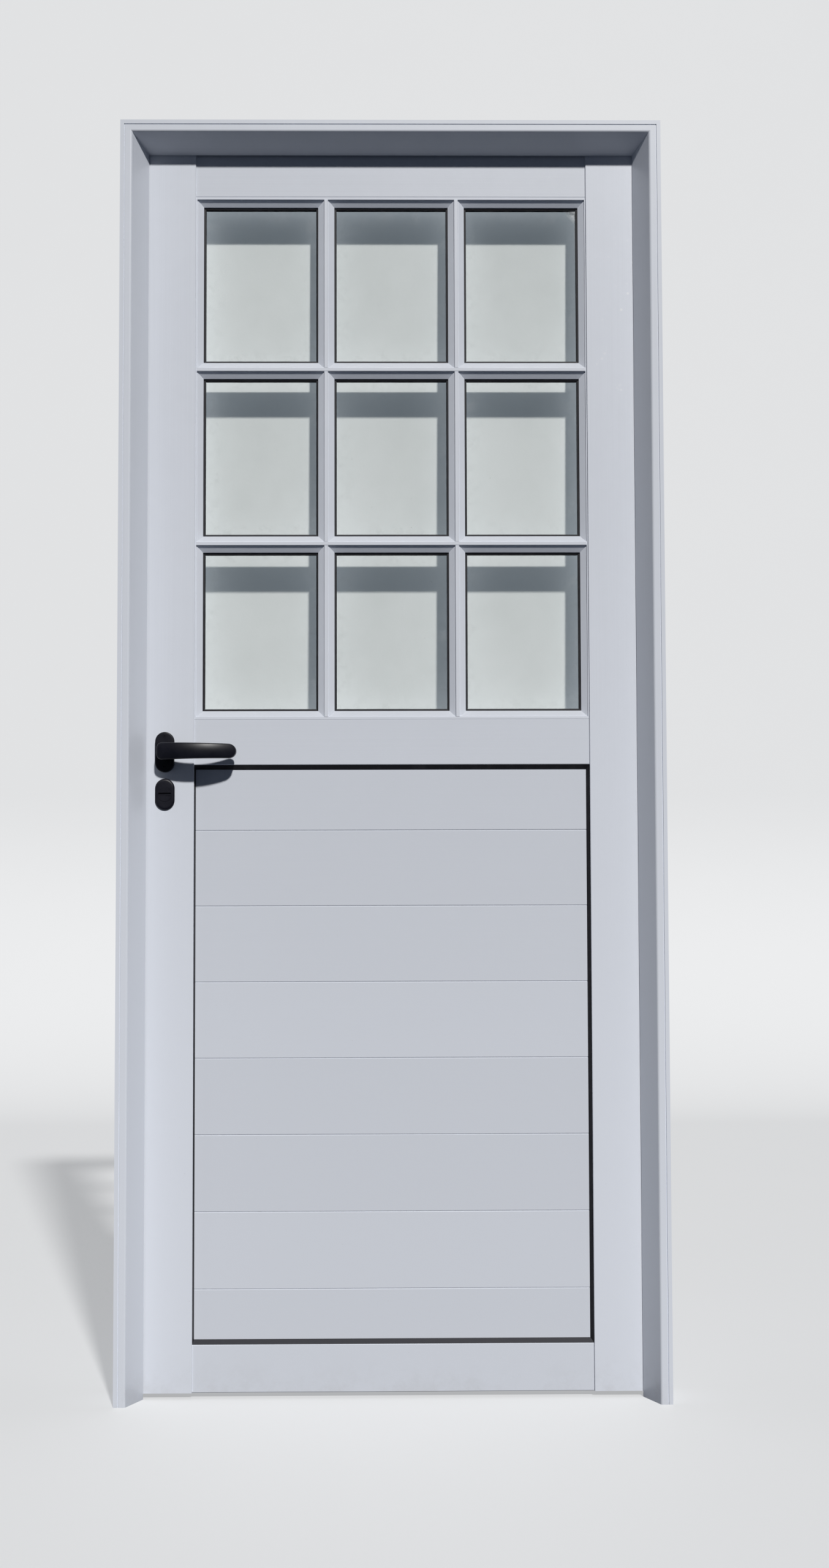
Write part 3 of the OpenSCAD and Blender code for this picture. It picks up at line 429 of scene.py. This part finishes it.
def gasketTree():
    group = bpy.data.node_groups.new("sweptGasket", "GeometryNodeTree")
    face = group.interface
    face.new_socket("Path", in_out="INPUT", socket_type="NodeSocketGeometry")
    for label in ("Width", "Height", "Edge radius", "Corner radius", "Step", "Waviness", "Wave length",
                  "Seed"):
        face.new_socket(label, in_out="INPUT", socket_type="NodeSocketFloat")
    face.new_socket("Material", in_out="INPUT", socket_type="NodeSocketMaterial")
    face.new_socket("Gasket", in_out="OUTPUT", socket_type="NodeSocketGeometry")
    t = Tree(group)
    given = t.node("NodeGroupInput").outputs
    line = t.node("GeometryNodeMeshToCurve", None, {"Mesh": given["Path"]})
    line = t.node("GeometryNodeFilletCurve", {"mode": "POLY"}, {
        "Curve": line.outputs[0], "Radius": given["Corner radius"], "Count": gasket["cornerCuts"]})
    line = t.node("GeometryNodeResampleCurve", {"mode": "LENGTH"}, {
        "Curve": line.outputs[0], "Length": given["Step"]})
    noise = t.node("ShaderNodeTexNoise", {"noise_dimensions": "4D"}, {
        "W": given["Seed"], "Scale": given["Wave length"], "Detail": 2.0})
    centred = t.node("ShaderNodeVectorMath", {"operation": "SUBTRACT"}, {
        0: noise.outputs["Color"], 1: (0.5, 0.5, 0.5)})
    drift = t.node("ShaderNodeVectorMath", {"operation": "SCALE"}, {
        0: centred.outputs[0], "Scale": given["Waviness"]})
    line = t.node("GeometryNodeSetPosition", None, {
        "Geometry": line.outputs[0], "Offset": drift.outputs[0]})
    line = t.node("GeometryNodeSetCurveNormal", {"mode": "Z_UP"}, {"Curve": line.outputs[0]})
    section = t.node("GeometryNodeCurvePrimitiveQuadrilateral", None, {
        "Width": given["Width"], "Height": given["Height"]})
    section = t.node("GeometryNodeFilletCurve", {"mode": "POLY"}, {
        "Curve": section.outputs[0], "Radius": given["Edge radius"], "Count": gasket["edgeCuts"]})
    swept = t.node("GeometryNodeCurveToMesh", None, {
        "Curve": line.outputs[0], "Profile Curve": section.outputs[0], "Fill Caps": True})
    stood = t.node("GeometryNodeTransform", None, {
        "Geometry": swept.outputs[0], "Rotation": (math.pi / 2, 0, 0)})
    real = t.node("GeometryNodeRealizeInstances", None, {"Geometry": stood.outputs[0]})
    coated = t.node("GeometryNodeSetMaterial", None, {
        "Geometry": real.outputs[0], "Material": given["Material"]})
    t.node("NodeGroupOutput", None, {"Gasket": coated.outputs[0]})
    return group


sweptGasket = gasketTree()


def runTree(tree, mesh, values, name):        # evaluates a node tree on a mesh and keeps the plain result
    holder = bpy.data.objects.new("holder", mesh)
    bpy.context.scene.collection.objects.link(holder)
    mod = holder.modifiers.new("tree", "NODES")
    mod.node_group = tree
    ids = {i.name: i.identifier for i in tree.interface.items_tree if i.in_out == "INPUT"}
    for label, value in values.items():
        mod[ids[label]] = value
    shown = holder.evaluated_get(bpy.context.evaluated_depsgraph_get())
    made = bpy.data.meshes.new_from_object(shown)
    made.name = name
    bpy.data.objects.remove(holder)
    return made


def sweepRuns(name, runs, depth, height, edge, look, seed):
    # runs are lists of (x, z) in metres, with True where they close; depth is the middle in Y
    bm = bmesh.new()
    for points, closed in runs:
        vs = [bm.verts.new((x, z, -depth)) for x, z in points]
        for a, b in zip(vs, vs[1:] + (vs[:1] if closed else [])):
            bm.edges.new((a, b))
    mesh = bpy.data.meshes.new(name + "Path")
    bm.to_mesh(mesh)
    bm.free()
    made = runTree(sweptGasket, mesh, {
        "Width": look["width"], "Height": height, "Edge radius": edge, "Step": gasket["step"],
        "Corner radius": look["corner"], "Waviness": look["waviness"],
        "Wave length": gasket["waveLength"], "Seed": seed, "Material": finishes["rubber"]}, name)
    bm = bmesh.new()
    bm.from_mesh(made)
    return cleanMesh(name, bm, gasket["smooth"])


def rect(lo, hi, inset):
    return [(lo.x + inset, lo.z + inset), (hi.x - inset, lo.z + inset),
            (hi.x - inset, hi.z - inset), (lo.x + inset, hi.z - inset)]


for side, seed in (("outer", 3.0), ("inner", 8.0)):
    node, name = "glazing_gaskets_" + side, "paneGaskets" + side.capitalize()
    boxes = islandBoxes(node)
    back, front = boxes[0][0].y, boxes[0][1].y
    runs = [(rect(lo, hi, paneGasket["width"] / 2), True) for lo, hi in boxes]
    mesh = sweepRuns(name, runs, (back + front) / 2, front - back, (front - back) * paneGasket["edge"],
                     paneGasket, seed)
    newPiece(mesh.name, mesh, "leaf", "rubber", [node])

lo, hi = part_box("stop_gasket")
half = stopGasket["width"] / 2
run = [(lo.x + half, lo.z), (lo.x + half, hi.z - half), (hi.x - half, hi.z - half), (hi.x - half, lo.z)]
mesh = sweepRuns("stopGasketLip", [(run, False)], (lo.y + hi.y) / 2, hi.y - lo.y, stopGasket["edge"],
                 stopGasket, 2.0)
newPiece(mesh.name, mesh, "frame", "rubber", ["stop_gasket"])
print("gaskets swept")


handles = {"edgeTurns": 6, "smooth": 35}       # for the ovals and the levers alike
ovals = {"cuts": 24, "steps": 4, "backEdge": 0.4 * mm, "boreCuts": 40, "boreLength": 5 * mm}


def arc(x, z, radius, start, sweep, cuts):   # both ends included
    turns = [start + sweep * i / cuts for i in range(cuts + 1)]
    return [(x + radius * math.cos(a), z + radius * math.sin(a)) for a in turns]


def straight(a, b, cuts):                    # only the points between the ends
    steps = [i / cuts for i in range(1, cuts)]
    return [(a[0] * (1 - t) + b[0] * t, a[1] * (1 - t) + b[1] * t) for t in steps]


def stadium(w, h):                           # upright oval outline, anticlockwise in X and Z
    r, c, cuts = w / 2, (h - w) / 2, ovals["cuts"]
    return arc(0, c, r, 0, math.pi, cuts) + arc(0, -c, r, math.pi, math.pi, cuts)


def pillow(outline, rings, spine, front, back, steps):
    # rings run from the back edge round to the front: (inset, offset, side); both faces close on a spine
    n, bm = len(outline), bmesh.new()
    normals = []
    for i in range(n):
        ax, az = outline[i - 1]
        bx, bz = outline[(i + 1) % n]
        length = math.hypot(bx - ax, bz - az) or 1
        normals.append((-(bz - az) / length, (bx - ax) / length))
    inner = [[(x + nx * inset, z + nz * inset) for (x, z), (nx, nz) in zip(outline, normals)]
             for inset in (rings[0][0], rings[-1][0])]

    def drawnIn(points, face, t):            # the outline shrunk towards the spine
        loop = []
        for x, z in points:
            sx, sz = spine(x, z)
            qx, qz = x + (sx - x) * t, z + (sz - z) * t
            loop.append(bm.verts.new((qx, face(qx, qz), qz)))
        return loop

    loops = [drawnIn(inner[0], back, s / steps) for s in range(steps, 0, -1)]
    for inset, offset, face in rings:
        loop = []
        for (x, z), (nx, nz) in zip(outline, normals):
            px, pz = x + nx * inset, z + nz * inset
            loop.append(bm.verts.new((px, face(px, pz) + offset, pz)))
        loops.append(loop)
    loops += [drawnIn(inner[1], front, s / steps) for s in range(1, steps + 1)]
    for a, b in zip(loops, loops[1:]):
        for i in range(n):
            j = (i + 1) % n
            bm.faces.new((a[i], a[j], b[j], b[i]))
    return bm


def softEdge(inset, drop, front, back, backEdge):   # back edge, side, rounded front edge
    rings = [(backEdge, 0, back), (0, -backEdge, back)]
    for i in range(handles["edgeTurns"] + 1):
        a = math.pi / 2 * i / handles["edgeTurns"]
        rings.append((inset * (1 - math.cos(a)), drop * (1 - math.sin(a)), front))
    return rings


def flipFace(bm):                            # from the outer face of the leaf to the inner one
    for v in bm.verts:
        v.co.y = -v.co.y


def drilled(mesh, name, holes):              # holes are (x, y, z, radius), bored along Y
    cutter = bmesh.new()
    for x, y, z, r in holes:
        bmesh.ops.create_cone(cutter, cap_ends=True, segments=ovals["boreCuts"], radius1=r, radius2=r,
                              depth=ovals["boreLength"],
                              matrix=Matrix.Translation((x, y, z)) @ Matrix.Rotation(math.pi / 2, 4, "X"))
    cutMesh = bpy.data.meshes.new("cutter")
    cutter.to_mesh(cutMesh)
    cutter.free()
    body, tool = bpy.data.objects.new("body", mesh), bpy.data.objects.new("tool", cutMesh)
    for o in (body, tool):
        bpy.context.scene.collection.objects.link(o)
    cut = body.modifiers.new("cut", "BOOLEAN")
    cut.operation, cut.object, cut.solver = "DIFFERENCE", tool, "EXACT"
    made = bpy.data.meshes.new_from_object(body.evaluated_get(bpy.context.evaluated_depsgraph_get()))
    for o in (body, tool):
        bpy.data.objects.remove(o)
    bm = bmesh.new()
    bm.from_mesh(made)
    return cleanMesh(name, bm, handles["smooth"])


roses = {"inset": 2.0 * mm, "drop": 2.0 * mm, "spots": (24.5 * mm, -24.5 * mm), "seat": 3.1 * mm}
keyPlates = {"inset": 4.2 * mm, "drop": 2.8 * mm, "spots": (0,), "seat": 11.85 * mm}
for node, look in (("rose_outer", roses), ("rose_inner", roses),
                   ("key_plate_outer", keyPlates), ("key_plate_inner", keyPlates)):
    lo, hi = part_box(node)
    mid, size = (lo + hi) / 2, hi - lo
    thick, half = size.y, (size.z - size.x) / 2
    edge = softEdge(look["inset"], look["drop"], lambda x, z: 0, lambda x, z: thick, ovals["backEdge"])
    bm = pillow(stadium(size.x, size.z), edge, lambda x, z: (0, max(-half, min(half, z))),
                lambda x, z: 0, lambda x, z: thick, ovals["steps"])
    for v in bm.verts:
        v.co.y -= thick
    seated, seen = hi.y, lo.y                # the face against the leaf and the face in view
    if node.endswith("inner"):
        flipFace(bm)
        seated, seen = lo.y, hi.y
    bmesh.ops.translate(bm, verts=bm.verts, vec=(mid.x, seated, mid.z))
    name = "".join(p.capitalize() if i else p for i, p in enumerate(node.split("_")))
    holes = [(mid.x, seen, mid.z + z, look["seat"]) for z in look["spots"]]
    mesh = drilled(cleanMesh(node, bm, handles["smooth"]), name, holes)
    newPiece(name, mesh, "leaf", "black", [node])
print("roses and key plates")

lever = {
    "length": 130.0 * mm, "height": 28.0 * mm, "thick": 12.0 * mm, "blunt": 10.0 * mm, "tip": 11.8 * mm,
    "corner": 8.0 * mm, "edge": 1.8 * mm, "backEdge": 1.2 * mm, "bow": 146.0 * mm, "bowAt": 52.0 * mm,
    "crown": 34.0 * mm, "neck": 7.9 * mm, "flare": 1.6 * mm, "flareDepth": 3.0 * mm, "sunk": 1.5 * mm,
    "tipCuts": 32, "sideCuts": 24, "cornerCuts": 12, "endCuts": 6, "flareCuts": 5, "neckCuts": 48, "steps": 6}
leverTip = lever["length"] - lever["blunt"] - lever["tip"]


def leverOutline():                          # tip, upper side, blunt end, lower side
    c, half, r, left = lever["corner"], lever["height"] / 2, lever["tip"], -lever["blunt"]
    lean = math.asin((half - r) / (leverTip - left - c))
    tip = arc(leverTip, 0, r, lean - math.pi / 2, math.pi - 2 * lean, lever["tipCuts"])
    upper = arc(left + c, half - c, c, math.pi / 2, math.pi / 2, lever["cornerCuts"])
    lower = arc(left + c, c - half, c, math.pi, math.pi / 2, lever["cornerCuts"])
    return (tip + straight(tip[-1], upper[0], lever["sideCuts"])
            + upper + straight(upper[-1], lower[0], lever["endCuts"])
            + lower + straight(lower[-1], tip[0], lever["sideCuts"]))


def leverFront(x, z):                        # bowed in plan, crowned from edge to edge
    reach = lever["bow"] - lever["crown"] + math.sqrt(lever["crown"] ** 2 - z * z)
    return lever["bow"] - math.sqrt(reach ** 2 - (x - lever["bowAt"]) ** 2)


def leverBack(x, z):
    return lever["bow"] - math.sqrt((lever["bow"] - lever["thick"]) ** 2 - (x - lever["bowAt"]) ** 2)


def lathe(bm, profile, segments):            # (radius, y) pairs turned about Y
    turns = [2 * math.pi * i / segments for i in range(segments)]
    loops = [[bm.verts.new((r * math.cos(a), y, r * math.sin(a))) for a in turns] for r, y in profile]
    for a, b in zip(loops, loops[1:]):
        for i in range(segments):
            j = (i + 1) % segments
            bm.faces.new((a[i], a[j], b[j], b[i]))
    for end in (loops[0], loops[-1]):
        bm.faces.new(end)


def leverNeck(reach):                        # hollow flare into the back of the grip, then the neck
    behind = leverBack(lever["neck"], 0)
    profile = [(lever["neck"] + lever["flare"], behind - lever["sunk"])]
    for i in range(1, lever["flareCuts"] + 1):
        a = math.pi / 2 * i / lever["flareCuts"]
        profile.append((lever["neck"] + lever["flare"] * (1 - math.sin(a)),
                        behind + lever["flareDepth"] + lever["flareDepth"] * (1 - math.cos(a))))
    return profile + [(lever["neck"], reach)]


for side in ("outer", "inner"):
    lo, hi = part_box("lever_" + side)
    axisX, axisZ, reach = lo.x + lever["blunt"], (lo.z + hi.z) / 2, hi.y - lo.y
    edge = softEdge(lever["edge"], lever["edge"], leverFront, leverBack, lever["backEdge"])
    bm = pillow(leverOutline(), edge, lambda x, z: (max(0, min(leverTip, x)), 0), leverFront, leverBack,
                lever["steps"])
    lathe(bm, leverNeck(reach), lever["neckCuts"])
    for v in bm.verts:
        v.co.y -= reach
    if side == "inner":
        flipFace(bm)
    bmesh.ops.translate(bm, verts=bm.verts, vec=(axisX, hi.y if side == "outer" else lo.y, axisZ))
    name = "lever" + side.capitalize()
    mesh = cleanMesh(name, bm, handles["smooth"])
    newPiece(name, mesh, "lever", "blackLever", ["lever_" + side])
print("levers")

view = {"place": (0.0047, -3.0325, 0.8446), "pitch": 3.021, "yaw": -0.615, "roll": -0.162,
        "lens": 41.6278125, "sensor": 36.0}
camera = bpy.data.cameras.new("camera")
camera.sensor_width = view["sensor"]
camera.lens = view["lens"]
eye = bpy.data.objects.new("camera", camera)
bpy.context.scene.collection.objects.link(eye)
eye.location = view["place"]
eye.rotation_euler = (Matrix.Rotation(math.radians(view["yaw"]), 3, "Z")
                      @ Matrix.Rotation(math.radians(90 + view["pitch"]), 3, "X")
                      @ Matrix.Rotation(math.radians(view["roll"]), 3, "Z")).to_euler()
bpy.context.scene.camera = eye


def stageSheet(name, bm, material, unseenBy):   # unseenBy lists the kinds of ray that pass it by
    mesh = bpy.data.meshes.new(name)
    bm.to_mesh(mesh)
    bm.free()
    mesh.materials.append(material)
    sheet = bpy.data.objects.new(name, mesh)
    bpy.context.scene.collection.objects.link(sheet)
    for kind in unseenBy:
        setattr(sheet, "visible_" + kind, False)
    return sheet


studio = {
    "width": 7.0, "front": -7.0, "wall": 4.5, "bend": 1.2, "bendCuts": 16, "top": 7.0,
    "cove": (0.40, 0.405, 0.41), "coveDark": (0.385, 0.39, 0.395), "rough": 0.75, "glow": 0.50,
    "pale": (0.86, 0.87, 0.88), "fill": (0.70, 0.84, 1.15), "fillPower": 0.052}


def palePaper():
    f = Finish("palePaper", IOR=1.45, Emission_Color=studio["pale"], Emission_Strength=studio["glow"])
    f.feed(Base_Color=f.blend(f.noise(1.5, 5, 0.6), studio["coveDark"], studio["cove"]),
           Roughness=studio["rough"] + f.noise(9.0, 3) * 0.1)
    return f.material


section = [(studio["front"], 0), (0, 0)]
section += arc(studio["wall"] - studio["bend"], studio["bend"], studio["bend"], -math.pi / 2, math.pi / 2,
               studio["bendCuts"])
section.append((studio["wall"], studio["top"]))
bm = bmesh.new()
edges = [[bm.verts.new((x, y, z)) for y, z in section] for x in (-studio["width"], studio["width"])]
for i in range(len(section) - 1):
    bm.faces.new((edges[0][i], edges[1][i], edges[1][i + 1], edges[0][i + 1])).smooth = True
cove = stageSheet("floor", bm, palePaper(), ("diffuse", "glossy", "shadow"))

# a pale wall close behind the leaf, seen only through the panes, where it takes the bars' shadows; it glows
# faintly, painted fill light that lifts those shadows
wall = {"side": 0.345, "foot": (0.062, 1.09), "head": (0.040, 2.06), "colour": (0.815, 0.81, 0.81),
        "patch": (0.76, 0.76, 0.755), "paintedFillTint": (0.80, 0.98, 1.15), "shade": 0.095, "relief": 0.0006}


def paleRender():
    # the faint cool glow is painted fill light in the shadows on the wall
    f = Finish("paleRender", Emission_Color=wall["paintedFillTint"], Emission_Strength=wall["shade"], Roughness=0.9)
    patches = f.noise(6.0, 5, 0.65).ramp(0.35, 0.7) * 0.6 + f.noise(60, 3, 0.6) * 0.4
    f.feed(Base_Color=f.blend(patches, wall["colour"], wall["patch"]),
           Normal=f.bump(f.noise(35, 5, 0.7), wall["relief"], 0.5))
    return f.material


bm = bmesh.new()
left, right = -wall["side"], wall["side"]
corners = [(left, *wall["foot"]), (right, *wall["foot"]), (right, *wall["head"]), (left, *wall["head"])]
bm.faces.new([bm.verts.new(corner) for corner in corners])
behind = stageSheet("wallBehind", bm, paleRender(), ("camera", "diffuse", "glossy", "shadow"))

nodes["glass_panes"].visible_diffuse = False  # the panes pass the wall no light from the paper

world = bpy.data.worlds.new("studio")
bpy.context.scene.world = world
world.use_nodes = True
w = Tree(world.node_tree)
ray = w.node("ShaderNodeLightPath").outputs
seen = Val(w, ray["Is Camera Ray"]).most(Val(w, ray["Is Transmission Ray"]))
fill = tinted(studio["fill"], studio["fillPower"])
background = world.node_tree.nodes["Background"].inputs
w.put(background["Color"], w.blend(seen, fill, studio["pale"]))
w.put(background["Strength"], 1.0)

lit = bpy.data.collections.new("lit")         # the back and side lamps light the door, not the floor
opaque = bpy.data.collections.new("opaque")   # the key lamp shines through the panes
for o in bpy.context.scene.objects:
    if o.type == "MESH" and o not in (cove, behind):
        lit.objects.link(o)
        if o != nodes["glass_panes"]:
            opaque.objects.link(o)


cool = (0.98, 0.99, 1.0)
lamps = {
    "key": {"power": 3.1, "height": 39, "side": 14, "spread": 3.0, "colour": (1.0, 0.985, 0.965),
            "blockers": opaque},
    "back": {"power": 1.4, "height": 35, "side": 170, "spread": 40, "colour": cool, "receivers": lit},
    "left": {"power": 1.4, "height": 14, "side": -112, "spread": 16, "colour": cool, "receivers": lit},
    "right": {"power": 1.4, "height": 14, "side": 112, "spread": 16, "colour": cool, "receivers": lit}}


def sunLamp(name, look):                     # height and side are degrees, side 0 from the front
    lamp = bpy.data.lights.new(name, "SUN")
    lamp.energy, lamp.angle, lamp.color = look["power"], math.radians(look["spread"]), look["colour"]
    o = bpy.data.objects.new(name, lamp)
    bpy.context.scene.collection.objects.link(o)
    h, s = math.radians(look["height"]), math.radians(look["side"])
    towards = Vector((math.sin(s) * math.cos(h), -math.cos(s) * math.cos(h), math.sin(h)))
    o.rotation_euler = towards.to_track_quat("Z", "Y").to_euler()
    o.light_linking.receiver_collection = look.get("receivers")
    o.light_linking.blocker_collection = look.get("blockers")


for name, look in lamps.items():
    sunLamp(name, look)
bpy.context.scene.view_settings.view_transform = "Standard"
print("camera and lights")
